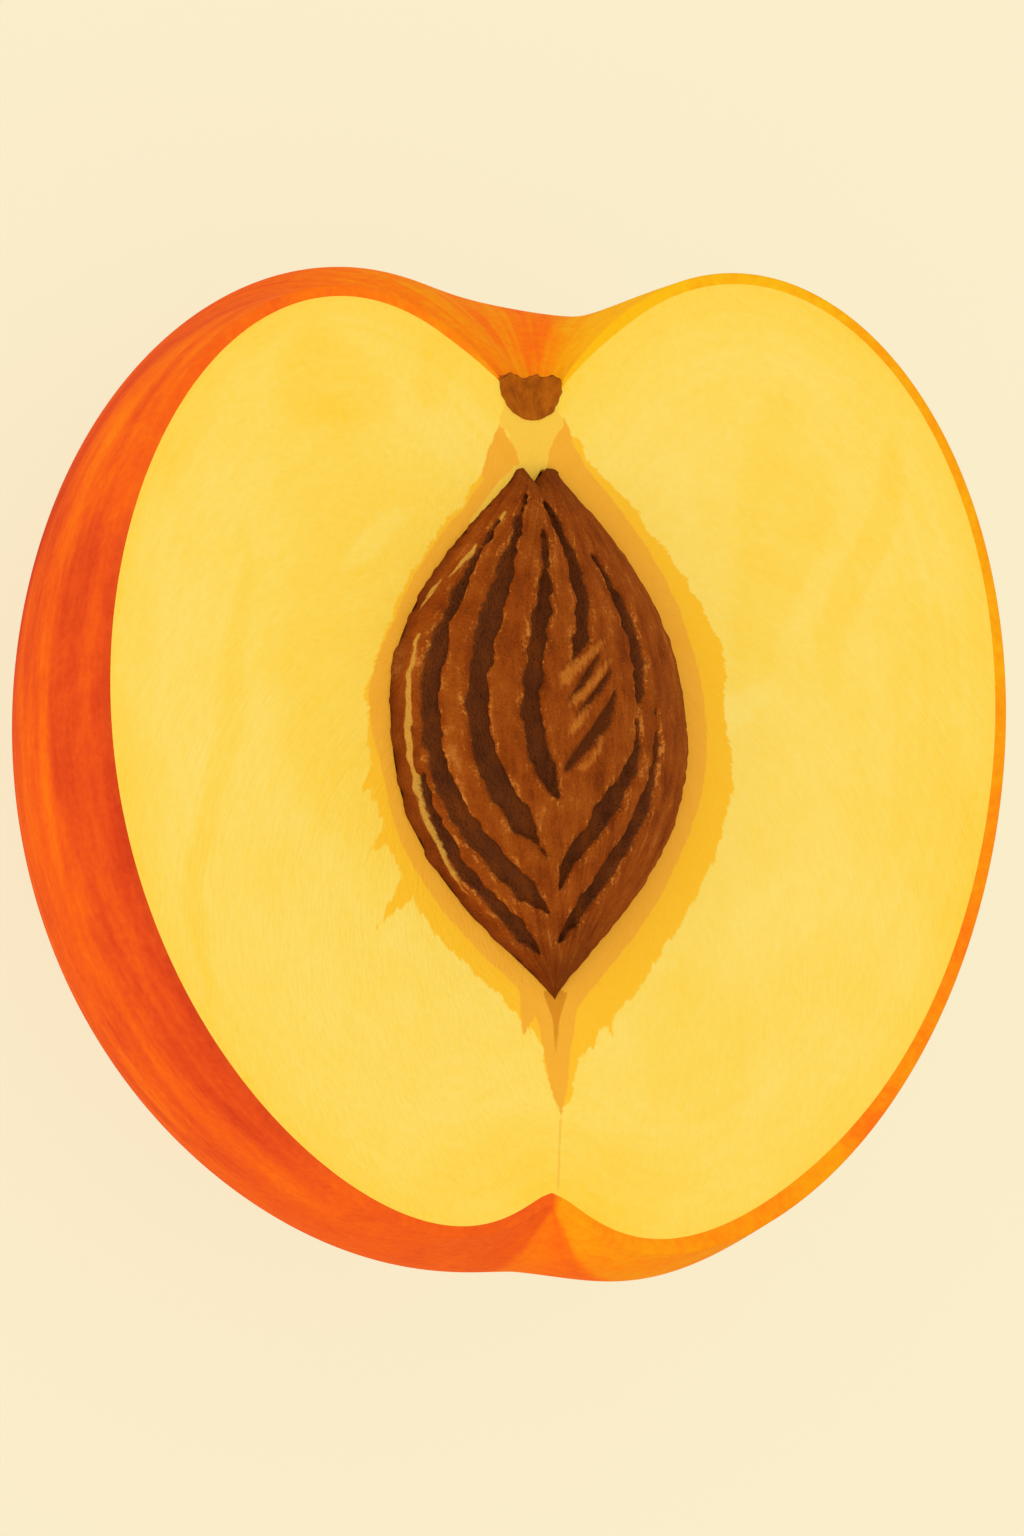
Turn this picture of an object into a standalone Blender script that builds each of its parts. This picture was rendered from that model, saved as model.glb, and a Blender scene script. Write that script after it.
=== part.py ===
"""Half a peach with its stone left in, lying on its round back with the cut face up.

The shapes are worked out in the fruit's own frame: the origin is inside the fruit, on the cut plane, +Y points
to the stem end, +X to the right of the cut face, and the flesh lies at and below z = 0. The finished half is
then moved so that the part's origin is on the floor, under the middle of its box.

A place on the skin is named by two angles: `tilt` from the stem axis, 0 at the stem and 180 at the tip, and
`turn` around the back, 0 at the right edge of the cut face and 180 at its left edge.
A place on the stone is named by two shares: `across`, -1 at its left edge and 1 at its right, and `along`,
0 at its stem end and 1 at its tip.
"""

import math

import bmesh
import bpy
from mathutils import Matrix, Vector
from mathutils.geometry import interpolate_bezier

MM = 0.001

# The whole fruit
MEAN_RADIUS = 39.7 * MM
STEM_END_FULLER = 0.105  # shares of the mean radius
LONGER_THAN_WIDE = 0.039
RIGHT_FULLER = 1.4 * MM
RIGHT_FULLER_AT_STEM = 2.3 * MM
SIDE_WAVE = 0.4 * MM
BACK_FULLER_AT_TIP = 1.8 * MM
BACK_SHARE = 0.91  # depth of the half as a share of its half width
LEAN = math.radians(-1.4)  # of the stem axis in the cut plane

# Swellings of the back: height, tilt, turn, then how far each spreads in tilt and in turn
STEM_SHOULDER = (4.0 * MM, 36, 116, 26, 34)
TIP_SHOULDER = (3.7 * MM, 145, 23.5, 26, 23)

# Hollows at the two ends: depth, how far each spreads in tilt, and how rounded its bottom is
STEM_CAVITY = (21.1 * MM, 23, 1.38)
TIP_NOTCH = (5.3 * MM, 10.3, 1.25)

# The groove that runs down the back from stem to tip
GROOVE_DEPTH = 0.8 * MM
GROOVE_DEEPER_AT_STEM = 2.9 * MM
GROOVE_STEM_REACH = 40
GROOVE_HALF_WIDTH = 23
GROOVE_TURN_AT_STEM = 41
GROOVE_TURN_AT_TIP = 77

FLAT_SPOT_HEIGHT = 0.9 * MM  # how much of the round back is pressed flat

# The stone
STONE_TOP = 20.4 * MM  # from the fruit's origin to the stone's stem end
STONE_LENGTH = 37.7 * MM
STONE_AXIS = 0.58 * MM  # how far right of the fruit's origin the stone's axis is
STONE_LEFT = 13.1 * MM  # half widths
STONE_RIGHT = 11.5 * MM
STONE_RISE = 7.0 * MM  # how far it stands out of the cut face
STONE_SINK = 8.3 * MM  # how far it reaches into the flesh
STONE_BLUNT = 0.11  # width of its stem end as a share of its full width
STONE_THINNING = 0.85  # how fast it thins as it narrows
STONE_ROUNDING = 0.65  # 0.5 is an ellipse in cross-section, and more has a keener edge
LEFT_EDGE = (0.45, 1.8, 2.8)  # where it is widest, then how full it is towards the stem and the tip
RIGHT_EDGE = (0.50, 2.15, 2.15)
TIP_SHARPNESS = 1.28
END_NOTCH = 1.0 * MM  # between the two knuckles of its stem end
END_NOTCH_HALF_WIDTH = 0.7 * MM
END_NOTCH_REACH = 0.03

# The furrows of its upper face: half width, then four handles of a curve, each (across, along)
FURROW_DEPTH = 1.0 * MM
FURROW_STEEPNESS = 2.5  # of its sides: 2 is a soft wave, and more is a trough
FURROW_SAMPLES = 40
FURROWS = (
    (0.75 * MM, (-0.83, 0.10), (-0.83, 0.36), (-1.12, 0.72), (-0.35, 0.86)),
    (0.80 * MM, (-0.58, 0.05), (-0.55, 0.27), (-0.93, 0.54), (-0.32, 0.75)),
    (0.70 * MM, (-0.27, 0.11), (-0.23, 0.30), (-0.58, 0.47), (-0.24, 0.64)),
    (0.60 * MM, (-0.18, 0.06), (0.08, 0.14), (0.05, 0.34), (-0.16, 0.40)),
    (0.70 * MM, (0.23, 0.18), (0.70, 0.37), (0.05, 0.60), (-0.24, 0.81)),
    (0.65 * MM, (0.54, 0.46), (0.49, 0.64), (0.40, 0.79), (-0.22, 0.90)),
    (0.60 * MM, (-0.94, 0.62), (-0.92, 0.74), (-0.90, 0.89), (-0.59, 0.92)),
    (0.55 * MM, (0.13, 0.40), (-0.04, 0.49), (-0.12, 0.52), (-0.25, 0.64)),
)

# The stem scar: a corky plug in the bottom of the stem cavity
SCAR_HEIGHT = 3.0 * MM
SCAR_SCALLOPS = 5
SCAR_SCALLOP_DEPTH = 0.3 * MM

GAP = 0.3 * MM  # between neighbouring pieces

# How finely the shapes are divided
SKIN_ROWS = 40
SKIN_COLUMNS = 26
ROWS_CROWDED_AT_ENDS = 0.6
STONE_ROWS = 48
STONE_TOP_COLUMNS = 44
STONE_UNDER_COLUMNS = 14
COLUMNS_CROWDED_AT_EDGES = 0.4
SCAR_RINGS = 4
SHARP_ANGLE = math.radians(50)

# Colours, as screen values from 0 to 255
FLESH_COLOUR = (253, 215, 95)
SKIN_COLOUR = (240, 94, 36)
STONE_COLOUR = (141, 66, 14)
SCAR_COLOUR = (175, 89, 17)


def clear_scene():
    for old in list(bpy.data.objects):
        bpy.data.objects.remove(old)


def bump(value, middle, spread):
    """1 at the middle, falling smoothly to nothing a few spreads away."""
    return math.exp(-(((value - middle) / spread) ** 2))


def hollow(hollow_sizes, angle):
    depth, spread, rounding = hollow_sizes
    return depth * math.exp(-((angle / spread) ** rounding))


def swelling(swelling_sizes, tilt, turn):
    height, at_tilt, at_turn, tilt_spread, turn_spread = swelling_sizes
    return height * bump(tilt, at_tilt, tilt_spread) * bump(turn, at_turn, turn_spread)


def groove(tilt, turn):
    depth = GROOVE_DEPTH + GROOVE_DEEPER_AT_STEM * bump(tilt, 0, GROOVE_STEM_REACH)
    middle = GROOVE_TURN_AT_STEM + (GROOVE_TURN_AT_TIP - GROOVE_TURN_AT_STEM) * tilt / 180
    across = math.exp(-((abs(turn - middle) / GROOVE_HALF_WIDTH) ** 1.5))
    return depth * across * math.sqrt(max(math.sin(math.radians(tilt)), 0))


def skin_radius(tilt, turn):
    """Distance from the fruit's origin to its skin, for angles in degrees."""
    s, c = math.sin(math.radians(tilt)), math.cos(math.radians(tilt))
    rightness, backness = math.cos(math.radians(turn)), math.sin(math.radians(turn))
    radius = MEAN_RADIUS * (1 + STEM_END_FULLER * c + LONGER_THAN_WIDE * math.cos(math.radians(2 * tilt)))
    radius += (RIGHT_FULLER + RIGHT_FULLER_AT_STEM * c) * s * rightness
    radius += SIDE_WAVE * math.sin(math.radians(3 * tilt)) * rightness
    radius += BACK_FULLER_AT_TIP * s * (1 - c) * backness
    radius += (swelling(STEM_SHOULDER, tilt, turn) + swelling(TIP_SHOULDER, tilt, turn)) * backness
    radius -= hollow(STEM_CAVITY, tilt) + hollow(TIP_NOTCH, 180 - tilt)
    return radius - groove(tilt, turn)


def skin_point(tilt, turn):
    radius = skin_radius(tilt, turn)
    out = radius * math.sin(math.radians(tilt))
    x = out * math.cos(math.radians(turn))
    z = -BACK_SHARE * out * math.sin(math.radians(turn))
    point = Vector((x, radius * math.cos(math.radians(tilt)), min(z, 0)))
    return Matrix.Rotation(LEAN, 3, "Z") @ point


def crowded(share, amount):
    """A share from 0 to 1 moved so that even steps bunch up at both ends."""
    return share - amount * math.sin(2 * math.pi * share) / (2 * math.pi)


def edge_share(edge, along):
    """The stone's half width on one side, as a share of its widest."""
    widest, stem_fullness, tip_fullness = edge
    if along < widest:
        return STONE_BLUNT + (1 - STONE_BLUNT) * (1 - ((widest - along) / widest) ** stem_fullness)
    return max(1 - ((along - widest) / (1 - widest)) ** tip_fullness, 0) ** TIP_SHARPNESS


def stone_point(across, along, height):
    """A point on the smooth stone, above the cut plane for a height above 0 and under it for one below."""
    left, right = edge_share(LEFT_EDGE, along), edge_share(RIGHT_EDGE, along)
    half = STONE_LEFT * left if across < 0 else STONE_RIGHT * right
    thickness = ((left + right) / 2) ** STONE_THINNING * (1 - across * across) ** STONE_ROUNDING
    return Vector((STONE_AXIS + across * half, STONE_TOP - along * STONE_LENGTH, height * thickness))


def furrow_lines():
    """Each furrow as its half width and the points of its middle line on the smooth stone."""
    lines = []
    for half_width, *handles in FURROWS:
        start, start_handle, end_handle, end = [Vector((*handle, 0)) for handle in handles]
        line = interpolate_bezier(start, start_handle, end_handle, end, FURROW_SAMPLES)
        lines.append((half_width, [stone_point(p.x, p.y, STONE_RISE) for p in line]))
    return lines


def furrow_depth(point, lines):
    deepest = 0
    for half_width, line in lines:
        distance = min((point - sample).length for sample in line)
        deepest = max(deepest, math.exp(-((distance / half_width) ** FURROW_STEEPNESS)))
    return FURROW_DEPTH * deepest


def end_notch(point, along):
    """How far the stone's stem end is set back between its two knuckles."""
    sideways = (point.x - STONE_AXIS) / END_NOTCH_HALF_WIDTH
    return END_NOTCH * math.exp(-sideways * sideways - along / END_NOTCH_REACH)


def stone_rows():
    """Shares along the stone of its rings, the tip itself left out."""
    return [row / STONE_ROWS for row in range(STONE_ROWS)]


def stone_columns(count):
    """Shares across the stone, from its left edge to its right edge."""
    shares = [crowded(column / count, COLUMNS_CROWDED_AT_EDGES) for column in range(count + 1)]
    return [2 * share - 1 for share in shares]


def bridge_rows(bm, rows, looped):
    """Faces between neighbouring rows of vertices, all of one length."""
    for first, second in zip(rows, rows[1:]):
        count = len(first)
        for i in range(count if looped else count - 1):
            j = (i + 1) % count
            bm.faces.new((first[i], first[j], second[j], second[i]))


def fan(bm, tip, row, looped):
    """Triangles from one vertex to a row of them."""
    count = len(row)
    for i in range(count if looped else count - 1):
        bm.faces.new((tip, row[i], row[(i + 1) % count]))


def add_skin(bm):
    """The round outside: an open shell whose edge is the outline of the cut face."""
    rows = []
    for row in range(1, SKIN_ROWS):
        tilt = 180 * crowded(row / SKIN_ROWS, ROWS_CROWDED_AT_ENDS)
        turns = [180 * column / SKIN_COLUMNS for column in range(SKIN_COLUMNS + 1)]
        rows.append([bm.verts.new(skin_point(tilt, turn)) for turn in turns])
    bridge_rows(bm, rows, looped=False)
    fan(bm, bm.verts.new(skin_point(0, 0)), rows[0], looped=False)
    fan(bm, bm.verts.new(skin_point(180, 0)), rows[-1], looped=False)


def press_flat_spot(bm):
    """Cuts the lowest part of the back off level, and closes it with one flat face."""
    level = min(vertex.co.z for vertex in bm.verts) + FLAT_SPOT_HEIGHT
    everything = bm.verts[:] + bm.edges[:] + bm.faces[:]
    cut = bmesh.ops.bisect_plane(
        bm, geom=everything, plane_co=(0, 0, level), plane_no=(0, 0, -1), clear_outer=True
    )
    ring = [item for item in cut["geom_cut"] if isinstance(item, bmesh.types.BMEdge)]
    bmesh.ops.edgeloop_fill(bm, edges=ring)
    for edge in ring:
        edge.seam = True


def add_socket(bm):
    """The hollow that the stone sits in: the stone's underside, grown by the gap."""
    middle = Vector((STONE_AXIS, STONE_TOP - STONE_LENGTH / 2, 0))
    grown = Vector((1 + GAP / STONE_RIGHT, 1 + 3 * GAP / STONE_LENGTH, 1 + GAP / STONE_SINK))

    def socket_vertex(across, along):
        offset = stone_point(across, along, -STONE_SINK) - middle
        return bm.verts.new(middle + offset * grown)

    columns = stone_columns(STONE_UNDER_COLUMNS)
    rows = [[socket_vertex(across, along) for across in columns] for along in stone_rows()]
    bridge_rows(bm, rows, looped=False)
    fan(bm, socket_vertex(0, 1), rows[-1], looped=False)
    bm.faces.new(rows[0])


def add_cut_face(bm):
    """The flat face between the outline of the fruit and the rim of the socket."""
    rim = [edge for edge in bm.edges if edge.is_boundary]
    bmesh.ops.triangle_fill(bm, use_beauty=True, edges=rim)


def build_flesh():
    bm = bmesh.new()
    add_skin(bm)
    press_flat_spot(bm)
    skin_faces = bm.faces[:]
    add_socket(bm)
    add_cut_face(bm)
    for face in skin_faces:
        face.material_index = 1
    materials = [material("peach_flesh", FLESH_COLOUR, 0.45), material("peach_skin", SKIN_COLOUR, 0.6)]
    return solid("flesh", bm, materials)


def build_stone():
    """The whole stone: a furrowed upper face that stands out of the cut, and a plain underside in the flesh."""
    bm = bmesh.new()
    lines = furrow_lines()
    upper = [(across, STONE_RISE) for across in stone_columns(STONE_TOP_COLUMNS)]
    under = [(across, -STONE_SINK) for across in reversed(stone_columns(STONE_UNDER_COLUMNS)[1:-1])]
    rings = []
    for along in stone_rows():
        ring = []
        for across, height in upper + under:
            point = stone_point(across, along, height)
            outward = Vector((point.x - STONE_AXIS, 0, point.z)).normalized()
            if height > 0:
                point -= furrow_depth(point, lines) * outward
            point.y -= end_notch(point, along)
            ring.append(bm.verts.new(point))
        rings.append(ring)
    bridge_rows(bm, rings, looped=True)
    end_middle = stone_point(0, 0, 0)
    end_middle.y -= end_notch(end_middle, 0)
    fan(bm, bm.verts.new(end_middle), rings[0], looped=True)
    fan(bm, bm.verts.new(stone_point(0, 1, 0)), rings[-1], looped=True)
    return solid("stone", bm, [material("peach_stone", STONE_COLOUR, 0.7)])


def scar_top(point):
    """How high the plug reaches at a point: level, with a scalloped edge."""
    ripple = abs(math.cos(math.pi * SCAR_SCALLOPS * point.x / (2 * SCAR_HEIGHT)))
    return skin_point(0, 0).y + GAP + SCAR_HEIGHT - SCAR_SCALLOP_DEPTH * (1 - ripple)


def scar_tilt(turn):
    """The tilt at which the cavity's wall has risen by the plug's height, found by halving."""
    low, high = 0, STEM_CAVITY[1]
    for _ in range(30):
        middle = (low + high) / 2
        risen = skin_point(middle, turn).y - skin_point(0, 0).y
        low, high = (middle, high) if risen < SCAR_HEIGHT else (low, middle)
    return low


def build_stem_scar():
    """Half a corky plug that lines the bottom of the stem cavity, cut flush with the flesh."""
    bm = bmesh.new()
    lift = Vector((0, 1.5 * GAP, 0))
    bottom = bm.verts.new(skin_point(0, 0) + lift)
    turns = [180 * column / SKIN_COLUMNS for column in range(SKIN_COLUMNS + 1)]
    sides = [
        [bm.verts.new(skin_point(scar_tilt(turn) * ring / SCAR_RINGS, turn) + lift) for turn in turns]
        for ring in range(1, SCAR_RINGS + 1)
    ]
    axis = skin_point(0, 0)
    tops = []
    for ring in range(SCAR_RINGS - 1, 0, -1):
        row = []
        for rim in sides[-1]:
            point = axis.lerp(rim.co, ring / SCAR_RINGS)
            point.y = scar_top(point)
            row.append(bm.verts.new(point))
        tops.append(row)
    crown = axis.copy()
    crown.y = scar_top(axis)
    bridge_rows(bm, sides + tops, looped=False)
    fan(bm, bottom, sides[0], looped=False)
    fan(bm, bm.verts.new(crown), tops[-1], looped=False)
    add_cut_face(bm)
    return solid("stem_scar", bm, [material("stem_scar", SCAR_COLOUR, 0.8)])


def material(name, colour, roughness):
    """A plain finish of one colour, given as screen values."""
    new = bpy.data.materials.new(name)
    new.use_nodes = True
    shader = new.node_tree.nodes["Principled BSDF"]
    linear = [(value / 255) ** 2.2 for value in colour]
    shader.inputs["Base Color"].default_value = (*linear, 1)
    shader.inputs["Roughness"].default_value = roughness
    shader.inputs["Metallic"].default_value = 0
    new.diffuse_color = (*linear, 1)
    return new


def solid(name, bm, materials):
    """An object from a closed shape: faces turned out, and shaded smooth but for sharp edges and seams."""
    bmesh.ops.recalc_face_normals(bm, faces=bm.faces[:])
    for face in bm.faces:
        face.smooth = True
    for edge in bm.edges:
        edge.smooth = edge.calc_face_angle() < SHARP_ANGLE and not edge.seam
    mesh = bpy.data.meshes.new(name)
    bm.to_mesh(mesh)
    bm.free()
    for finish in materials:
        mesh.materials.append(finish)
    new = bpy.data.objects.new(name, mesh)
    bpy.context.scene.collection.objects.link(new)
    return new


def stand_on_origin(pieces, lowest_piece):
    """Moves every piece so that the origin is on the floor under the middle of the half."""
    corners = [vertex.co for vertex in lowest_piece.data.vertices]
    lows = [min(corner[axis] for corner in corners) for axis in range(3)]
    highs = [max(corner[axis] for corner in corners) for axis in range(3)]
    foot = Vector(((lows[0] + highs[0]) / 2, (lows[1] + highs[1]) / 2, lows[2]))
    for piece in pieces:
        piece.data.transform(Matrix.Translation(-foot))


def build_peach_half():
    clear_scene()
    flesh = build_flesh()
    stand_on_origin([flesh, build_stone(), build_stem_scar()], flesh)


build_peach_half()
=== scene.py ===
"""The looks of a peach half that lies on its round back, cut face up, with its stone left in.

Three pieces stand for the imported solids: the flesh with its skin, the furrowed stone, and the corky stem
scar. They are worked out in the fruit's own frame, in millimetres: its origin is inside the fruit on the cut
plane, +Y points to the stem end and +X to the right of the cut face. `placed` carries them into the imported
frame.

A place on the skin is named by two angles, `tilt` from the stem axis and `turn` around the back, from the
right edge of the cut face to its left edge. A place on the stone is named by two shares, `across` and
`along`. Vertex attributes hold distances in millimetres from the edges of each zone of colour, and the
materials turn them into zones with ragged, fibrous edges.
"""

import math

import bmesh
import bpy
import numpy as np
from mathutils import Matrix, Vector, noise


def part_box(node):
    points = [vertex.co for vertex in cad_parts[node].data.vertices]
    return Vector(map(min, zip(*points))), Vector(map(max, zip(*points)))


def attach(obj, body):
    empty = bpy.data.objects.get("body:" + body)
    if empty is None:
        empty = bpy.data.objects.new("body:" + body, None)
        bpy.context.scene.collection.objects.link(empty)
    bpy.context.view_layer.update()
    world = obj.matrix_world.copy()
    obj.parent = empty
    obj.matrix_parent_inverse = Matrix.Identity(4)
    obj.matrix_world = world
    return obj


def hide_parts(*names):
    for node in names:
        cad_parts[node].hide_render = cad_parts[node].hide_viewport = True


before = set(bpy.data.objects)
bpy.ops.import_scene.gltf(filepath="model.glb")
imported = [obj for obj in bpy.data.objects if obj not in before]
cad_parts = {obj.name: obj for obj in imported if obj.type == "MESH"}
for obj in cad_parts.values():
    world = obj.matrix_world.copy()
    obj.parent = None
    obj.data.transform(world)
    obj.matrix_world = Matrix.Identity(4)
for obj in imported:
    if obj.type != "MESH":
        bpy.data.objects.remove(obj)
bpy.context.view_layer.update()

MM = 0.001

# ---------------------------------------------------------------------------------------------------------
# Sizes in millimetres, angles in degrees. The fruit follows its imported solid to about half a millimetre, and
# the stone to about one, in its furrows and at its notched end.

MEAN_RADIUS = 39.7
STEM_END_FULLER = 0.105  # shares of the mean radius
LONGER_THAN_WIDE = 0.039
RIGHT_FULLER = 1.4
RIGHT_FULLER_AT_STEM = 2.3
SIDE_WAVE = 0.4
BACK_FULLER_AT_TIP = 1.8
BACK_SHARE = 0.91  # depth of the half as a share of its half width
LEAN = -1.4  # of the stem axis in the cut plane

# Swellings of the back: height, tilt, turn, then how far each spreads in tilt and in turn
STEM_SHOULDER = (4.1, 35.5, 117, 31.8, 33)
TIP_SHOULDER = (3.6, 140, 24, 23.4, 28.5)

# Hollows at the two ends: depth, how far each spreads in tilt, and how rounded its bottom is
STEM_CAVITY = (21.1, 23, 1.38)
TIP_NOTCH = (5.3, 10.3, 1.25)

# The groove that runs down the back from stem to tip
GROOVE_DEPTH = 0.9
GROOVE_DEEPER_AT_STEM = 2.9
GROOVE_STEM_REACH = 40
GROOVE_HALF_WIDTH = 23
GROOVE_ROUNDING = 1.5
GROOVE_TURN_AT_STEM = 41
GROOVE_TURN_AT_TIP = 77

FLAT_SPOT_SOFTNESS = 0.25  # how gently the back runs into the spot that it rests on

# The peel, seen as a thin line around the cut face
PEEL_ROUNDING = 0.2
PEEL_THICKNESS = 0.8
PEEL_THICKER = ((0.3, 110, 50), (0.5, 147, 20))  # by how much, how far around from the stem end, spread
PEEL_THINS_TOWARDS_STEM = (3, 14)  # degrees from the stem axis
PEEL_AT_STEM = 0.25  # share of its width that it keeps there
PEEL_LEAST = 0.08  # least width of its level part

# The stone
STONE_TOP = 20.4
STONE_LENGTH = 37.7
STONE_AXIS = 0.45  # to the right of the fruit's origin, at the stem end
STONE_LEAN = -0.4  # how far to the right its tip is of its stem end
STONE_LEFT = 13.1
STONE_RIGHT = 11.5
STONE_RISE = 7.0
STONE_SINK = 8.3
STONE_BLUNT = 0.066
STONE_THINNING = 0.85
STONE_ROUNDING = 0.65
LEFT_EDGE = (0.45, 1.8, 2.8)
RIGHT_EDGE = (0.50, 2.15, 2.15)
TIP_SHARPNESS = 1.28
END_NOTCH = 1.24
END_NOTCH_HALF_WIDTH = 0.9
END_NOTCH_MIDDLE = -0.52  # to the right of the stone's axis
END_NOTCH_REACH = 0.054
KNUCKLES = 0.97  # how much wider the end beside the notch is on each side
KNUCKLE_REACH = 0.022
KNUCKLE_ROUNDING = 0.15
RIM_POWER = 8  # how close to the stone's outline its pebbles and rounding keep
SOCKET_CLEARANCE = 0.3  # how far the socket's wall lies below the stone's underside, near its rim
SOCKET_POLE_DROP = 0.05
STONE_MIDDLE = (STONE_AXIS + STONE_LEAN / 2, STONE_TOP - STONE_LENGTH / 2)

# Lines on the stone: the half width at four places along them, then four handles of a curve, each (across,
# along). Every line runs out to a point beyond the last of the places.
LINE_WIDTH_PLACES = (0, 0.3, 0.6, 0.9, 1)
LINE_SAMPLES = 240
FURROWS = (
    ((0.08, 0.72, 0.69, 0.82), (-0.83, 0.11), (-0.86, 0.40), (-1.09, 0.74), (-0.39, 0.85)),
    ((0.11, 0.84, 0.77, 0.89), (-0.61, 0.06), (-0.56, 0.34), (-0.94, 0.55), (-0.36, 0.75)),
    ((0.08, 0.64, 0.71, 0.86), (-0.32, 0.12), (-0.22, 0.31), (-0.61, 0.48), (-0.26, 0.65)),
    ((0.17, 0.43, 0.56, 0.52), (-0.25, 0.07), (-0.04, 0.11), (0.06, 0.30), (-0.18, 0.40)),
    ((0.16, 0.63, 0.76, 0.46), (0.20, 0.18), (0.37, 0.24), (0.41, 0.40), (0.32, 0.47)),
    ((0.09, 0.73, 0.81, 0.34), (0.30, 0.49), (0.38, 0.62), (-0.16, 0.71), (-0.26, 0.81)),
    ((0.23, 0.59, 0.84, 0.53), (0.49, 0.47), (0.53, 0.64), (0.32, 0.79), (-0.25, 0.90)),
    ((0.11, 0.46, 0.47, 0.65), (-0.94, 0.60), (-0.93, 0.71), (-0.95, 0.83), (-0.66, 0.92)),
)
# Shallow dips in the stone's upper face; the material darkens them with painted shade
SHALLOW_DIPS = (
    ((0.20, 0.56, 0.50, 0.30), (0.13, 0.445), (0.04, 0.51), (-0.12, 0.55), (-0.24, 0.60)),
    ((0.14, 0.30, 0.30, 0.18), (0.02, 0.375), (-0.06, 0.41), (-0.12, 0.44), (-0.20, 0.47)),
    ((0.14, 0.28, 0.26, 0.14), (0.10, 0.405), (0.04, 0.43), (-0.06, 0.46), (-0.15, 0.49)),
)
# Pale stripes along the stone's left keel: painted highlights
KEEL_HIGHLIGHT_STRIPES = (
    ((0.12, 0.25, 0.15, 0.07), (-0.95, 0.33), (-0.96, 0.51), (-0.97, 0.71), (-0.95, 0.83)),
    ((0.10, 0.19, 0.19, 0.11), (-0.98, 0.29), (-0.98, 0.26), (-0.97, 0.24), (-0.96, 0.22)),
    ((0.06, 0.15, 0.17, 0.11), (-0.93, 0.22), (-0.90, 0.19), (-0.88, 0.18), (-0.88, 0.15)),
    ((0.10, 0.15, 0.14, 0.12), (-0.80, 0.12), (-0.80, 0.11), (-0.79, 0.10), (-0.79, 0.09)),
)
# Tan strokes between the shallow dips: painted highlights
TAN_HIGHLIGHT_STROKES = (
    ((0.12, 0.28, 0.39, 0.39), (0.06, 0.35), (-0.09, 0.39), (-0.19, 0.40), (-0.24, 0.44)),
    ((0.10, 0.22, 0.28, 0.26), (0.09, 0.385), (0.01, 0.415), (-0.08, 0.445), (-0.20, 0.475)),
    ((0.08, 0.26, 0.30, 0.20), (-0.07, 0.475), (-0.12, 0.495), (-0.17, 0.51), (-0.20, 0.53)),
    ((0.08, 0.16, 0.15, 0.09), (0.00, 0.53), (-0.01, 0.56), (-0.08, 0.59), (-0.16, 0.59)),
)
FURROW_DEPTH = 0.9
FURROW_WALL = (-0.2, 0.4)  # millimetres inside a furrow's edge where its wall starts and ends
DIP_DEPTH = 0.5
WAVERS = ((0.34, 1.3), (0.16, 0.45))  # how far the furrows' edges wander in millimetres, and over what length
PEBBLING = 0.08  # height of the small lumps on the ridges
PEBBLE_LENGTH = 0.9
OUTLINE_PEBBLING = 0.3  # height of the lumps along the stone's outline
OUTLINE_PEBBLE_LENGTH = 0.9
FAR_OUTSIDE = -5  # stands for a place far from every line

# The ring of darker flesh around the stone: (share along the stone, width) on each side
OCHRE_LEFT = ((0.0, 1.9), (0.12, 1.2), (0.31, 1.0), (0.47, 1.8), (0.58, 1.1), (0.74, 1.5), (1.0, 1.6))
OCHRE_RIGHT = ((0.0, 2.4), (0.2, 2.4), (0.45, 2.2), (0.70, 1.7), (0.85, 1.9), (1.0, 1.9))
GOLD_LEFT = (
    (0.0, 2.2), (0.15, 1.4), (0.35, 1.25), (0.47, 2.1), (0.56, 1.8), (0.63, 2.2), (0.73, 2.6), (0.82, 3.2),
    (0.92, 3.2), (1.0, 3.2),
)
GOLD_RIGHT = (
    (0.0, 2.9), (0.15, 3.3), (0.22, 3.9), (0.36, 4.7), (0.46, 3.9), (0.55, 4.4), (0.65, 4.2), (0.78, 4.25),
    (0.9, 4.4), (1.0, 4.3),
)
SIDES_MEET = 1.2  # how far to each side of the stone's axis the two sides run into each other

# Pointed tongues of colour: tip x and y, foot x and y, half width at the foot
GOLD_TONGUES = (
    (-15.5, -3.0, -13.6, -1.2, 1.1),
    (-14.7, -7.1, -12.9, -5.6, 1.0),
    (-14.4, -12.4, -11.5, -9.3, 1.15),
    (-9.6, -13.0, -9.0, -11.2, 0.8),
    (-7.6, -15.6, -6.7, -13.6, 0.8),
    (4.7, -19.6, 4.2, -17.2, 1.0),
    (3.4, -21.4, 2.6, -18.2, 1.1),
    (0.2, -26.0, 0.5, -19.0, 2.2),
)
OCHRE_TONGUES = (
    (-2.45, 23.8, -2.6, 20.0, 1.65),
    (3.0, 24.3, 2.65, 20.0, 1.75),
    (-2.8, -19.9, -1.8, -17.0, 1.2),
    (0.07, -26.3, 0.1, -17.5, 1.9),
)
BROWN_TONGUES = (
    (0.1, -19.4, 0.1, -16.9, 1.0),
    (0.0, -23.0, 0.1, -17.0, 0.38),
)
SEAM = ((0.07, -26.0), (-0.41, -31.2))  # a faint line from the longest tongue towards the tip's notch
SEAM_HALF_WIDTH = 0.09

# The pale cup of flesh above the stone: (height above its lowest point, half width)
PALE_CUP_LOWEST = (0.18, 19.3)
PALE_CUP = ((0.0, 0.8), (1.4, 1.15), (2.1, 1.3), (3.3, 1.87), (4.5, 2.75), (5.4, 2.3), (6.5, 0.0))
PALE_SLIVER = ((0.0, 0.3), (0.04, 0.65), (0.10, 0.25), (0.14, -0.3))

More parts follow.
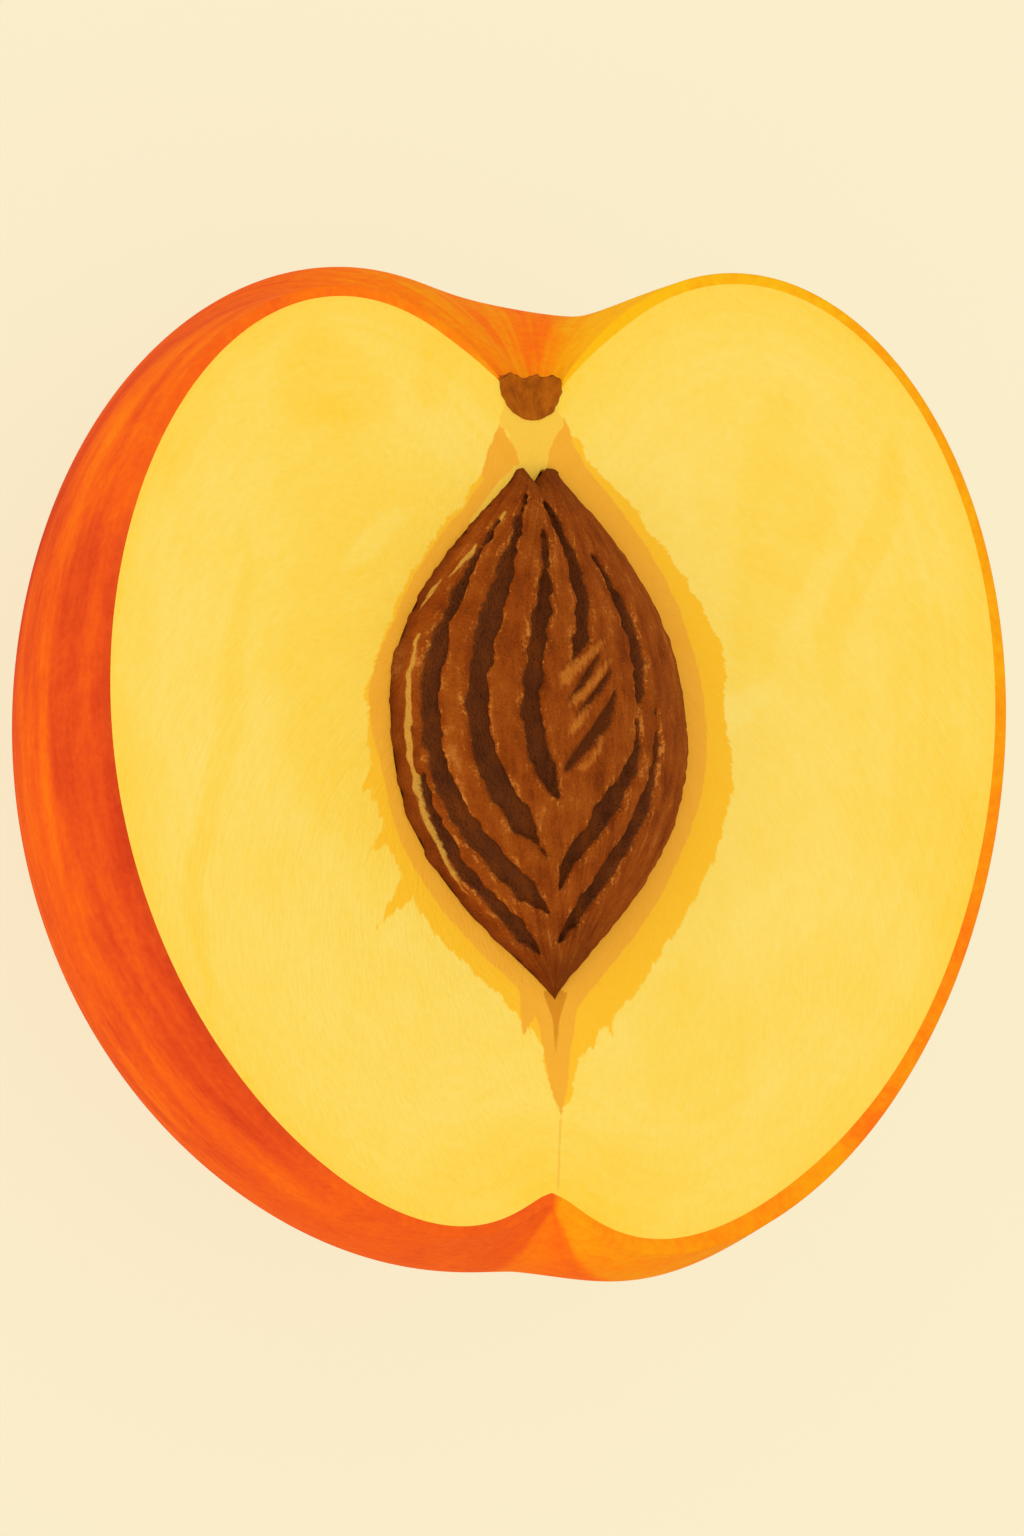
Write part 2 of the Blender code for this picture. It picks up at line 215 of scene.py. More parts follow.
# Soft patches of the cut face: x, y, half width, half height, lean, and how much deeper its yellow is
PATCHES = (
    (-16.5, 25.0, 4.5, 3.5, 20, 0.45),
    (-8.0, 27.5, 2.0, 1.6, 60, 0.3),
    (-11.5, 6.0, 10.5, 17.0, 8, 0.45),
    (20.5, 15.0, 3.2, 11.0, -12, 0.32),
    (28.5, 15.0, 1.8, 9.0, -14, 0.35),
    (33.5, 0.5, 2.8, 12.0, 3, 0.25),
    (12.0, -20.0, 6.0, 4.0, 20, 0.2),
    (21.0, -8.0, 6.5, 2.6, 40, -0.15),
    (-12.5, 14.5, 4.5, 0.9, 45, -0.4),
    (15.5, 4.0, 5.0, 1.2, 10, -0.3),
    (-32.0, 4.0, 2.0, 16.0, 4, -0.2),
    (-27.8, -2.0, 1.2, 17.0, -8, 0.35),
    (0.0, -30.0, 12.0, 3.5, 0, 0.3),
)
PATCH_EDGE = (0.5, 1.6)  # where a patch starts and ends to fade, as the square of a share of its half width
PATCH_WANDER = 3.0  # how far the edges of the patches wander
PATCH_WANDER_LENGTH = 9.0
PALER_THAN_PATCHES = 0.3  # how much paler than its middle yellow the rest of the cut face is
RIM_DEEPER = (0.75, 2.6, 1.2)  # how much deeper the yellow is by the peel, how far in that reaches, rounding

# The stem scar: a corky plug in the bottom of the stem cavity
SCAR_MIDDLE = 0.2
SCAR_BOTTOM = 23.85
SCAR_HEIGHT = 3.1
SCAR_HALF_WIDTH = 2.68
SCAR_PROUD = 0.06  # how far its cut face stands above the flesh
SCAR_DEPTH_SHARE = 0.8  # how far it reaches down, as a share of its half width
SCAR_BUMPS = ((-2.5, -0.25), (-1.6, 0.18), (-0.4, -0.22), (0.6, 0.16), (1.9, 0.18))
SCAR_BUMP_SPREAD = 0.42
SCAR_RAGGEDNESS = (0.16, 0.5, 0.4)  # how ragged it is, and the length of its lumps sideways and upwards
SCAR_SWELL = 2.3  # how fast it widens from its foot
SCAR_CROWN_STARTS = 0.7  # share of its height
SCAR_FIRST_RING = 0.02  # share of its height
SCAR_CROWN_RINGS = (0.9, 0.05)  # first and last ring across its top, as shares of its width

# Where each kind of lumps is read in the noise, so that no two kinds are alike
WAVER_SEED = 3.1
PEBBLE_SEED = 1.3
OUTLINE_PEBBLE_SEED = 6.2
PATCH_SEEDS = (2.4, 8.6)
SCAR_SEEDS = (5.5, 9.5)

# How finely the shapes are divided
AROUND = 480
SKIN_LOOPS = 108
EDGE_LOOPS = 4
FACE_LOOPS = 58
FACE_LOOPS_CROWDED = 1.8  # how much closer together the rings of the cut face are near the stone
SOCKET_LOOPS = 12
STONE_ROWS = 230
STONE_TOP_COLUMNS = 150
STONE_UNDER_COLUMNS = 30
ENDS_CROWDED = 0.5
EDGES_CROWDED = 0.4
SCAR_RINGS = 26
SCAR_AROUND = 72
OUTLINE_STEPS = 4000
STONE_OUTLINE_STEPS = 500

# The camera and the lights
CAMERA_TILT = 35  # from straight above
CAMERA_SIDE = 256  # the side it tilts to, in degrees clockwise from the stem end
CAMERA_AIM = (-2.23, -0.84)  # the middle of the view, to the right of and above the fruit's origin
FRAME_HEIGHT = 107.9  # height of the view, at the fruit
LENS = 1000
SENSOR = 36
FLOOR_HALF_WIDTH = 3.0  # in metres
FLOOR_COLOUR = (100, 95, 82)
FLOOR_GLOW_COLOUR = (250, 238, 203)
FLOOR_GLOW = 0.87
SKY_COLOUR = (1.0, 0.995, 0.98, 1)
SKY_STRENGTH = 0.86
LAMP_FROM = (-0.72, -0.2, 0.66)
LAMP_SPREAD = 70
LAMP_STRENGTH = 0.8

# Colours, as screen values from 0 to 255, alone or in (value, colour) stops of a ramp
FLESH_YELLOWS = (
    (0.0, (254, 222, 112)), (0.35, (253, 214, 88)), (0.65, (253, 207, 66)), (1.0, (252, 196, 44)),
)
FLESH_STROKE = (252, 198, 70)
SEAM_GOLD = (244, 178, 60)
SKIN_REDS = (
    (0.0, (250, 186, 20)), (0.2, (250, 158, 14)), (0.42, (254, 122, 16)),
    (0.62, (245, 98, 22)), (0.8, (229, 80, 27)), (1.0, (208, 61, 25)),
)
RIDGE_BROWNS = ((0.1, (116, 46, 4)), (0.45, (146, 65, 9)), (0.7, (160, 77, 14)), (0.95, (192, 112, 40)))
# Darker browns for the furrows: painted shade in the recesses
TROUGH_SHADE_BROWNS = ((0.1, (76, 36, 14)), (0.5, (100, 48, 16)), (0.9, (120, 56, 12)))
DIP_SHADE_BROWN = (96, 44, 12)
# Tan flecks along the furrows' edges: painted highlights on the ridges' crests
FLECK_HIGHLIGHT_TAN = (206, 122, 44)
CRUMB_TAN = (198, 112, 40)
# Colour of the tan strokes between the dips: painted highlights
STROKE_HIGHLIGHT_TAN = (192, 108, 32)
END_BROWN = (84, 36, 10)
# Darker brown along the stone's outline: painted shade where its sides turn down to the flesh
KEEL_SHADE_BROWN = (92, 42, 10)
# Colour of the pale stripe by the keel: a painted highlight
STRIPE_HIGHLIGHT_CREAM = (206, 148, 56)
CORK_BROWNS = ((0.15, (128, 60, 8)), (0.45, (168, 84, 10)), (0.7, (186, 98, 14)), (1.0, (206, 124, 36)))

# The zones of colour around the stone: attribute, colour, how far its edge wanders, and how soft the edge is
ZONES = (
    ("gold", (254, 190, 34), 1.9, 0.14),
    ("ochre", (244, 169, 44), 0.6, 0.12),
    ("brown", (214, 132, 16), 0.2, 0.12),
    ("pale", (249, 197, 66), 0.5, 0.14),
)


# ---------------------------------------------------------------------------------------------------------
# Small mathematics


def bump(value, middle, spread):
    """1 at the middle, falling smoothly to nothing a few spreads away."""
    return np.exp(-(((value - middle) / spread) ** 2))


def rise(value, start, end):
    """0 before start, 1 after end, and a smooth ramp between them."""
    share = np.clip((value - start) / (end - start), 0, 1)
    return share * share * (3 - 2 * share)


def fall(value, start, end):
    """1 before start, 0 after end, and a smooth ramp between them."""
    return 1 - rise(value, start, end)


def through(keys, value):
    """A smooth curve through (place, height) keys, level at each of them."""
    places, heights = np.array(keys, float).T
    step = np.clip(np.searchsorted(places, value) - 1, 0, len(places) - 2)
    share = rise(value, places[step], places[step + 1])
    return heights[step] + (heights[step + 1] - heights[step]) * share


def crowded(share, amount):
    """A share from 0 to 1 moved so that even steps bunch up at both ends."""
    return share - amount * np.sin(2 * np.pi * share) / (2 * np.pi)


def bezier(handles, count):
    """Points along a curve with four handles."""
    t = np.linspace(0, 1, count)[:, None]
    first, second, third, fourth = [np.array(handle, float) for handle in handles]
    return (
        (1 - t) ** 3 * first
        + 3 * (1 - t) ** 2 * t * second
        + 3 * (1 - t) * t**2 * third
        + t**3 * fourth
    )


def lumps(points, length, seed):
    """Smooth noise from -1 to 1 at each point, with lumps about `length` across."""
    shift = Vector((seed, -seed, 2 * seed))
    return np.array([noise.noise(Vector(point) / length + shift) for point in points])


def nearest(points, line):
    """For each point, its distance to the nearest point of a line, and that point's number."""
    distances, numbers = [], []
    for part in np.array_split(points, max(len(points) // 2000, 1)):
        gaps = np.linalg.norm(part[:, None, :] - line[None, :, :], axis=2)
        numbers.append(gaps.argmin(1))
        distances.append(gaps.min(1))
    return np.concatenate(distances), np.concatenate(numbers)


# ---------------------------------------------------------------------------------------------------------
# The form of the fruit and of its stone


def fading(sizes, distance):
    """A height that fades away with distance."""
    height, reach, rounding = sizes
    return height * np.exp(-((distance / reach) ** rounding))


def swelling(swelling_sizes, tilt, turn):
    """Height of a shoulder of the back."""
    height, at_tilt, at_turn, tilt_spread, turn_spread = swelling_sizes
    return height * bump(tilt, at_tilt, tilt_spread) * bump(turn, at_turn, turn_spread)


def groove_turn(tilt):
    """The turn at which the groove runs."""
    return GROOVE_TURN_AT_STEM + (GROOVE_TURN_AT_TIP - GROOVE_TURN_AT_STEM) * tilt / 180


def groove(tilt, turn):
    """Depth of the groove."""
    depth = GROOVE_DEPTH + GROOVE_DEEPER_AT_STEM * bump(tilt, 0, GROOVE_STEM_REACH)
    across = fading((1, GROOVE_HALF_WIDTH, GROOVE_ROUNDING), np.abs(turn - groove_turn(tilt)))
    return depth * across * np.sqrt(np.clip(np.sin(np.radians(tilt)), 0, 1))


def skin_radius(tilt, turn):
    """Distance from the fruit's origin to its skin."""
    s, c = np.sin(np.radians(tilt)), np.cos(np.radians(tilt))
    rightness, backness = np.cos(np.radians(turn)), np.sin(np.radians(turn))
    radius = MEAN_RADIUS * (1 + STEM_END_FULLER * c + LONGER_THAN_WIDE * np.cos(np.radians(2 * tilt)))
    radius += (RIGHT_FULLER + RIGHT_FULLER_AT_STEM * c) * s * rightness
    radius += SIDE_WAVE * np.sin(np.radians(3 * tilt)) * rightness
    radius += BACK_FULLER_AT_TIP * s * (1 - c) * backness
    radius += (swelling(STEM_SHOULDER, tilt, turn) + swelling(TIP_SHOULDER, tilt, turn)) * backness
    radius -= fading(STEM_CAVITY, tilt) + fading(TIP_NOTCH, 180 - tilt)
    return radius - groove(tilt, turn)


def skin_angles(around, down):
    """Tilt and turn, for the angle clockwise around the cut face and the angle down from it."""
    around, down = np.radians(around), np.radians(down)
    rightward = np.cos(down) * np.sin(around)
    stemward = np.cos(down) * np.cos(around)
    tilt = np.degrees(np.arccos(np.clip(stemward, -1, 1)))
    turn = np.degrees(np.arctan2(np.sin(down), rightward))
    return tilt, turn


def skin_points(around, down):
    """Points of the skin, for the angle clockwise around the cut face and the angle down from it."""
    tilt, turn = skin_angles(around, down)
    radius = skin_radius(tilt, turn)
    out = radius * np.sin(np.radians(tilt))
    x = out * np.cos(np.radians(turn))
    y = radius * np.cos(np.radians(tilt))
    z = -BACK_SHARE * out * np.sin(np.radians(turn))
    lean = math.radians(LEAN)
    return np.stack([x * math.cos(lean) - y * math.sin(lean), x * math.sin(lean) + y * math.cos(lean), z], -1)


def even_around(count):
    """Angles around the cut face that are evenly spaced along its outline."""
    fine = np.linspace(0, 360, OUTLINE_STEPS)
    steps = np.linalg.norm(np.diff(skin_points(fine, 0), axis=0), axis=1)
    travelled = np.concatenate([[0], np.cumsum(steps)])
    return np.interp(np.arange(count) / count * travelled[-1], travelled, fine)


def edge_share(edge, along):
    """The stone's half width on one side, as a share of its widest."""
    widest, stem_fullness, tip_fullness = edge
    up = np.clip((widest - along) / widest, 0, 1)
    down = np.clip((along - widest) / (1 - widest), 0, 1)
    above = STONE_BLUNT + (1 - STONE_BLUNT) * (1 - up**stem_fullness)
    below = np.clip(1 - down**tip_fullness, 0, 1) ** TIP_SHARPNESS
    return np.where(along < widest, above, below)


def stone_axis(along):
    """How far to the right the stone's axis is."""
    return STONE_AXIS + STONE_LEAN * along


def stone_half_widths(along):
    """Millimetres from the stone's axis to its left side and to its right side."""
    wider = KNUCKLES * np.exp(-along / KNUCKLE_REACH)
    left = STONE_LEFT * edge_share(LEFT_EDGE, along) + wider
    right = STONE_RIGHT * edge_share(RIGHT_EDGE, along) + wider
    return left, right


def stone_points(across, along, height):
    """Points on the smooth stone, above the cut plane for a height above 0 and under it for one below."""
    sideways = across * np.where(across < 0, *stone_half_widths(along))
    fullness = (edge_share(LEFT_EDGE, along) + edge_share(RIGHT_EDGE, along)) / 2
    profile = np.clip(1 - across * across, 0, 1) ** STONE_ROUNDING
    thickness = fullness**STONE_THINNING * profile
    notch = END_NOTCH * np.clip(1 - np.abs(sideways - END_NOTCH_MIDDLE) / END_NOTCH_HALF_WIDTH, 0, 1)
    knuckle = KNUCKLE_ROUNDING * across**RIM_POWER * np.exp(-along / KNUCKLE_REACH)
    y = STONE_TOP - along * STONE_LENGTH - notch * np.exp(-along / END_NOTCH_REACH) - knuckle
    return np.stack([stone_axis(along) + sideways, y, height * thickness], -1)


def stone_sides():
    """The stone's outline on the cut plane, from stem end to tip: its left side and its right side."""
    along = crowded(np.linspace(0, 1, STONE_OUTLINE_STEPS), ENDS_CROWDED)
    return along, [stone_points(np.full_like(along, side), along, 0)[:, :2] for side in (-1, 1)]


def stone_rim(around):
    """Points of the stone's outline in each direction from its middle."""
    _, (left, right) = stone_sides()
    stem_end = stone_points(np.linspace(-1, 1, STONE_OUTLINE_STEPS)[1:-1], 0.0, 0)[:, :2]
    outline = np.concatenate([left, right, stem_end]) - STONE_MIDDLE
    directions = np.degrees(np.arctan2(outline[:, 0], outline[:, 1])) % 360
    order = np.argsort(directions)
    reach = np.interp(around, directions[order], np.hypot(*outline[order].T), period=360)
    turn = np.radians(around)
    return np.stack([np.sin(turn) * reach, np.cos(turn) * reach], -1) + STONE_MIDDLE


# ---------------------------------------------------------------------------------------------------------
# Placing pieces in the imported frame


def fruit_origin():
    """Where the fruit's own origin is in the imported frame, in metres."""
    low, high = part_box("flesh")
    around, down = np.meshgrid(np.linspace(0, 360, 361), np.linspace(0, 89, 90))
    skin = skin_points(around, down).reshape(-1, 3)
    middle = (skin.min(0) + skin.max(0)) / 2 * MM
    return Vector(((low.x + high.x) / 2 - middle[0], (low.y + high.y) / 2 - middle[1], high.z))


ORIGIN = fruit_origin()
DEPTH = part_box("flesh")[1].z / MM  # from the cut face down to the floor


def placed(points):
    """Points of the fruit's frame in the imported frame, in metres."""
    return np.array(points) * MM + np.array(ORIGIN)


def added(name, data):
    """A new object in the scene."""
    item = bpy.data.objects.new(name, data)
    bpy.context.scene.collection.objects.link(item)
    return item


def closed_body(name, first_pole, loops, last_pole):
    """A closed mesh of rings of equal length between two poles, in the fruit's frame."""
    ring_count, count = loops.shape[:2]
    vertices = placed(np.concatenate([[first_pole], loops.reshape(-1, 3), [last_pole]]))
    last = len(vertices) - 1
    ring = 1 + np.arange(ring_count)[:, None] * count + np.arange(count)
    beside = np.roll(ring, -1, 1)
    quads = np.stack([ring[:-1], beside[:-1], beside[1:], ring[1:]], -1).reshape(-1, 4).tolist()
    start = np.stack([np.zeros(count, int), beside[0], ring[0]], -1).tolist()
    end = np.stack([np.full(count, last), ring[-1], beside[-1]], -1).tolist()
    mesh = bpy.data.meshes.new(name)
    mesh.from_pydata(vertices.tolist(), [], start + quads + end)
    bm = bmesh.new()
    bm.from_mesh(mesh)
    bmesh.ops.recalc_face_normals(bm, faces=bm.faces[:])
    bm.to_mesh(mesh)
    bm.free()
    mesh.shade_smooth()
    return added(name, mesh)


def keep_values(piece, **values):
    """Stores numbers on the piece's vertices, under the names that its materials read."""
    for name, numbers in values.items():
        attribute = piece.data.attributes.new(name, "FLOAT", "POINT")
        attribute.data.foreach_set("value", np.asarray(numbers, np.float32).ravel())


# ---------------------------------------------------------------------------------------------------------
# The flesh, with the skin around it


def pressed_flat(points):
    """The round back, run gently into the level spot that it rests on."""
    level = -DEPTH
    above = points[..., 2] - level
    points[..., 2] = level + (above + np.sqrt(above**2 + FLAT_SPOT_SOFTNESS**2)) / 2
    return points


def peel_width(around):
    """How wide the cut edge of the peel is, around the cut face."""
    from_stem = np.minimum(around, 360 - around)
    width = PEEL_THICKNESS + sum(more * bump(around, place, spread) for more, place, spread in PEEL_THICKER)
    return width * (PEEL_AT_STEM + (1 - PEEL_AT_STEM) * rise(from_stem, *PEEL_THINS_TOWARDS_STEM))


def flesh_loops():
    """Rings from the bottom up the skin, over the rim, across the cut face and down the socket."""
    around = even_around(AROUND)
    outline = skin_points(around, 0)
    rim_radius = np.linalg.norm(outline, axis=1)
    first_down = np.degrees(np.arcsin(PEEL_ROUNDING / (BACK_SHARE * rim_radius)))
    shares = np.arange(1, SKIN_LOOPS + 1) / SKIN_LOOPS
    downs = 90 - (90 - first_down) * shares[:, None]
    arounds = np.broadcast_to(around, downs.shape)
    skin = pressed_flat(skin_points(arounds, downs))

    along_rim = np.roll(outline, -1, 0) - np.roll(outline, 1, 0)
    inward = np.stack([along_rim[:, 1], -along_rim[:, 0], 0 * rim_radius], -1)
    inward /= np.linalg.norm(inward, axis=1)[:, None]
    edge = []
    for step in range(1, EDGE_LOOPS + 1):
        angle = math.radians(90 * step / EDGE_LOOPS)
        loop = skin[-1] + inward * PEEL_ROUNDING * (1 - math.cos(angle))
        loop[:, 2] = -PEEL_ROUNDING * (1 - math.sin(angle))
        edge.append(loop)
    peel = edge[-1] + inward * np.maximum(peel_width(around) - PEEL_ROUNDING, PEEL_LEAST)[:, None]

    rim = stone_rim(around)
    rim = np.concatenate([rim, np.zeros((AROUND, 1))], 1)
    out = np.linspace(1, 0, FACE_LOOPS + 1)[1:] ** FACE_LOOPS_CROWDED
    face = rim + (peel - rim) * out[:, None, None]
    socket = socket_loops(rim)
    return skin, np.stack(edge), peel[None], face, socket


def socket_loops(rim):
    """Rings from the rim of the stone's socket down to its deepest point."""
    middle = np.array([*STONE_MIDDLE, 0])
    loops = []
    for step in range(1, SOCKET_LOOPS):
        share = math.cos(math.radians(90 * step / SOCKET_LOOPS))
        loop = middle + (rim - middle) * share
        along = (STONE_TOP - loop[:, 1]) / STONE_LENGTH
        sideways = loop[:, 0] - stone_axis(along)
        across = np.clip(sideways / np.where(sideways < 0, *stone_half_widths(along)), -1, 1)
        loop[:, 2] = stone_points(across, along, -STONE_SINK)[:, 2] - SOCKET_CLEARANCE * share
        loops.append(loop)
    return np.stack(loops)


def tongue(points, sizes):
    """Millimetres inside a pointed tongue of colour, less than 0 outside it."""
    tip_x, tip_y, foot_x, foot_y, half_width = sizes
    foot, tip = np.array([foot_x, foot_y]), np.array([tip_x, tip_y])
    length = np.linalg.norm(tip - foot)
    axis = (tip - foot) / length
    offset = points - foot
    share = offset @ axis / length
    sideways = np.abs(offset @ np.array([-axis[1], axis[0]]))
    width = half_width * np.clip(1 - share, -1, 1)
    return np.where(share < -0.1, -half_width, width - sideways)


def inside_tongues(points, tongues):
    """Millimetres inside the nearest of several tongues."""
    return np.max([tongue(points, sizes) for sizes in tongues], axis=0)


def face_zones(points):
    """How far inside each zone of colour the points of the cut face are, in millimetres."""
    along, sides = stone_sides()
    (left_gap, left_at), (right_gap, right_at) = [nearest(points, side) for side in sides]
    left_along, right_along = along[left_at], along[right_at]
    gap = np.minimum(left_gap, right_gap)
    sideways = points[:, 0] - stone_axis((STONE_TOP - points[:, 1]) / STONE_LENGTH)
    rightness = rise(sideways, -SIDES_MEET, SIDES_MEET)

    def ring(left_widths, right_widths):
        """Millimetres inside a ring around the stone, from its widths on the two sides."""
        left, right = through(left_widths, left_along), through(right_widths, right_along)
        return left + (right - left) * rightness - gap

    height = points[:, 1] - PALE_CUP_LOWEST[1]
    off_cup = np.abs(points[:, 0] - PALE_CUP_LOWEST[0])
    cup = np.where(height > 0, through(PALE_CUP, height) - off_cup, height)
    sliver = through(PALE_SLIVER, left_along) - left_gap
    start, end = np.array(SEAM)
    direction = (end - start) / np.linalg.norm(end - start)
    return {
        "stone_gap": gap,
        "ochre": np.maximum(ring(OCHRE_LEFT, OCHRE_RIGHT), inside_tongues(points, OCHRE_TONGUES)),
        "gold": np.maximum(ring(GOLD_LEFT, GOLD_RIGHT), inside_tongues(points, GOLD_TONGUES)),
        "brown": inside_tongues(points, BROWN_TONGUES),
        "pale": np.maximum(cup, sliver),
        "seam_side": (points - start) @ np.array([-direction[1], direction[0]]),
        "seam_end": (points - start) @ direction,
    }


def ripeness(points, rim_gap):
    """How much deeper than usual the yellow of the cut face is, as a soft share."""
    total = fading(RIM_DEEPER, rim_gap) - PALER_THAN_PATCHES
    spots = np.concatenate([points, np.zeros((len(points), 1))], 1)
    moved_x, moved_y = [
        points[:, axis] + PATCH_WANDER * lumps(spots, PATCH_WANDER_LENGTH, seed)
        for axis, seed in enumerate(PATCH_SEEDS)
    ]
    for x, y, half_width, half_height, lean, amount in PATCHES:
        c, s = math.cos(math.radians(lean)), math.sin(math.radians(lean))
        sideways, upward = moved_x - x, moved_y - y
        off_width = (sideways * c + upward * s) / half_width
        off_height = (upward * c - sideways * s) / half_height
        total += amount * fall(off_width**2 + off_height**2, *PATCH_EDGE)
    return total


def blush(tilt, turn):
    """How red the skin is, from amber at 0 to deep red at 1."""
    behind = turn - groove_turn(tilt)
    cavity = fall(tilt, 12, 38)
    marks = (
        (0.53, rise(behind, -4, 16)),  # the red side of the groove
        (0.19, bump(turn, 180, 13) * rise(tilt, 61, 73) * fall(tilt, 136, 156)),  # deep red by the left edge
        (-0.07, bump(turn, 163, 7) * rise(tilt, 30, 60) * fall(tilt, 110, 140)),  # a lighter band beside it
        (0.15, bump(turn, 132, 18) * bump(tilt, 70, 34)),
        (-0.13, bump(turn, 180, 15) * bump(tilt, 42, 18)),
        (0.13, bump(turn, 152, 10) * bump(tilt, 58, 20)),
        (0.04, bump(turn, 158, 14) * bump(tilt, 84, 12)),
        (0.05, bump(tilt, 175, 26) * bump(behind, -8, 28)),
        (0.26, rise(behind, -38, -28) * fall(behind, -2, 8) * rise(tilt, 138, 160)),  # a wedge at the tip
        (0.14, rise(tilt, 90, 150) * fall(behind, -30, 0)),  # the amber side turns orange towards the tip
        (0.16, bump(tilt, 108, 32) * fall(behind, -40, -10)),
        (-0.32, cavity * rise(behind, 0, 20)),  # the stem cavity is orange on the red side
        (-0.12, bump(tilt, 18, 16) * fall(behind, -26, -2)),  # and yellow on the other
    )
    return 0.13 + sum(amount * share for amount, share in marks)


def streakiness(tilt):
    """How strongly the skin is streaked: fully on its sides, less in the stem cavity and at the tip."""
    return np.maximum(rise(np.sin(np.radians(tilt)), 0.3, 0.8), 0.7 * fall(tilt, 25, 40))


def build_flesh():
    """The flesh in one closed mesh, with its skin outside and the stone's socket in its cut face."""
    skin, edge, peel, face, socket = flesh_loops()
    loops = np.concatenate([skin, edge, peel, face, socket])
    bottom = skin[0].mean(0)
    deepest = np.array([*STONE_MIDDLE, socket[-1, :, 2].min() - SOCKET_POLE_DROP])
    piece = closed_body("peach_flesh", bottom, loops, deepest)

    flat = np.concatenate([[bottom], loops.reshape(-1, 3), [deepest]])
    direction = flat / np.linalg.norm(flat, axis=1)[:, None]
    c, s = math.cos(math.radians(LEAN)), math.sin(math.radians(LEAN))
    rightward = direction[:, 0] * c + direction[:, 1] * s
    stemward = direction[:, 1] * c - direction[:, 0] * s
    tilt = np.degrees(np.arccos(np.clip(stemward, -1, 1)))
    turn = np.degrees(np.arctan2(np.maximum(-direction[:, 2] / BACK_SHARE, 0), rightward))
    rim_gap, _ = nearest(flat[:, :2], skin_points(even_around(AROUND * 2), 0)[:, :2])
    zones = face_zones(flat[:, :2])
    keep_values(
        piece, tilt=tilt, turn=turn, blush=blush(tilt, turn), streaky=streakiness(tilt),
        rim_gap=rim_gap, ripe=ripeness(flat[:, :2], rim_gap), **zones,
    )
    skin_rings = SKIN_LOOPS + EDGE_LOOPS
    numbers = np.ones(len(piece.data.polygons), int)
    numbers[: AROUND * (1 + skin_rings)] = 0
    piece.data.materials.append(skin_material())
    piece.data.materials.append(flesh_material())
    piece.data.polygons.foreach_set("material_index", numbers)
    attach(piece, "root")
    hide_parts("flesh")


# ---------------------------------------------------------------------------------------------------------
# The stone


def inside_line(points, widths, *handles):
    """Millimetres inside a line drawn on the upper face of the stone, less than 0 outside it."""
    across, along = bezier(handles, LINE_SAMPLES).T
    distance, number = nearest(points, stone_points(across, along, STONE_RISE))
    return np.interp(number / (LINE_SAMPLES - 1), LINE_WIDTH_PLACES, (*widths, 0)) - distance


def inside_lines(points, lines):
    """Millimetres inside the nearest of several lines."""
    return np.max([inside_line(points, *line) for line in lines], axis=0)


def build_stone():
    """The whole stone: a furrowed upper face that stands out of the cut, and a plain underside."""
    top = 2 * crowded(np.linspace(0, 1, STONE_TOP_COLUMNS + 1), EDGES_CROWDED) - 1
    under = 2 * crowded(np.linspace(0, 1, STONE_UNDER_COLUMNS + 1), EDGES_CROWDED)[-2:0:-1] - 1
    across = np.concatenate([top, under])
    height = np.concatenate([np.full(len(top), STONE_RISE), np.full(len(under), -STONE_SINK)])
    alongs = crowded(np.arange(STONE_ROWS) / STONE_ROWS, ENDS_CROWDED)
    loops = np.stack([stone_points(across, along, height) for along in alongs])
    smooth = loops.reshape(-1, 3)
    across, upper = np.tile(across, STONE_ROWS), np.tile(height, STONE_ROWS) > 0
    along = np.repeat(alongs, len(height))

    waver = sum(reach * lumps(smooth, length, WAVER_SEED) for reach, length in WAVERS)
    furrow = inside_lines(smooth, FURROWS) + waver
    dip = inside_lines(smooth, SHALLOW_DIPS)
    depth = (FURROW_DEPTH * rise(furrow, *FURROW_WALL) + DIP_DEPTH * rise(dip, *FURROW_WALL)) * upper
    outward = np.stack([smooth[:, 0] - stone_axis(along), 0 * along, smooth[:, 2]], -1)
    outward /= np.maximum(np.linalg.norm(outward, axis=1), 0.01)[:, None]
    outline_lumps = lumps(smooth, OUTLINE_PEBBLE_LENGTH, OUTLINE_PEBBLE_SEED) * across**RIM_POWER
    pebbles = PEBBLING * lumps(smooth, PEBBLE_LENGTH, PEBBLE_SEED) + OUTLINE_PEBBLING * outline_lumps
    formed = smooth + outward * (pebbles - depth)[:, None]
    end = np.array([STONE_AXIS + END_NOTCH_MIDDLE, STONE_TOP - END_NOTCH, 0])
    tip = np.array([stone_axis(1), STONE_TOP - STONE_LENGTH, 0])
    piece = closed_body("peach_stone", end, formed.reshape(loops.shape), tip)

    def with_poles(values, first=FAR_OUTSIDE, last=FAR_OUTSIDE):
        """The values of all vertices, in the order in which the closed mesh keeps them."""
        return np.concatenate([[first], values, [last]])

    keep_values(
        piece,
        furrow=with_poles(np.where(upper, furrow, FAR_OUTSIDE)),
        dip=with_poles(dip),
        stripe=with_poles(inside_lines(smooth, KEEL_HIGHLIGHT_STRIPES)),
        stroke=with_poles(inside_lines(smooth, TAN_HIGHLIGHT_STROKES)),
        across=with_poles(across, 0, 0),
        along=with_poles(along, 0, 1),
    )
    piece.data.materials.append(stone_material())
    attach(piece, "root")
    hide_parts("stone")


# ---------------------------------------------------------------------------------------------------------
# The stem scar


def scar_half_width(share):
    """The plug's half width at a share of its height: rounded below, and nearly straight above."""
    return SCAR_HALF_WIDTH * math.sqrt(1 - (1 - share) ** SCAR_SWELL)


